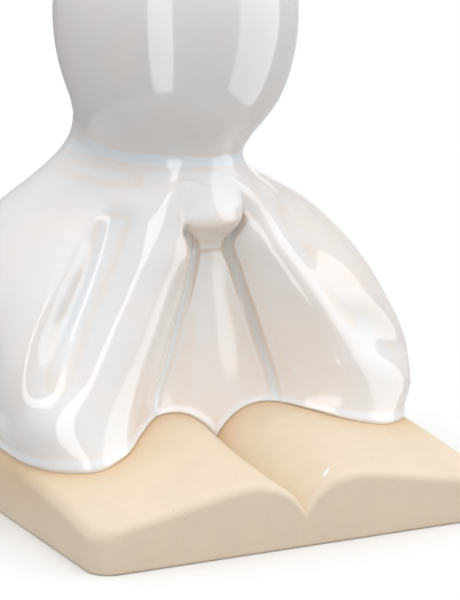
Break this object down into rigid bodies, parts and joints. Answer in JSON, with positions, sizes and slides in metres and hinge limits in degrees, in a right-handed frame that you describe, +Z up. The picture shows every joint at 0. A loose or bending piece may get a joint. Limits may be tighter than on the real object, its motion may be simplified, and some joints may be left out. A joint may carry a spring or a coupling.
{
  "type": "porcelain figurine",
  "caption": "Glossy white porcelain figurine with a plain egg-shaped head and a folded cloak, seated on a matt beige base in the form of an open book.",
  "frame": {"origin": "middle of the underside of the book base", "axes": "+Z up, -Y the way the figure faces, +X to the figure's own left, which is the right side of a front view"},
  "size_m": [0.1134, 0.116, 0.1503],
  "materials": {
    "white_glaze": "glossy opal white glaze",
    "bisque_book": "matt beige with fine specks"
  },
  "bodies": {
    "root": {"book_base": "bisque_book", "body": "white_glaze", "chest": "white_glaze", "left_front_fold": "white_glaze", "right_front_fold": "white_glaze", "left_rear_fold": "white_glaze", "right_rear_fold": "white_glaze", "head": "white_glaze"}
  },
  "joints": []
}
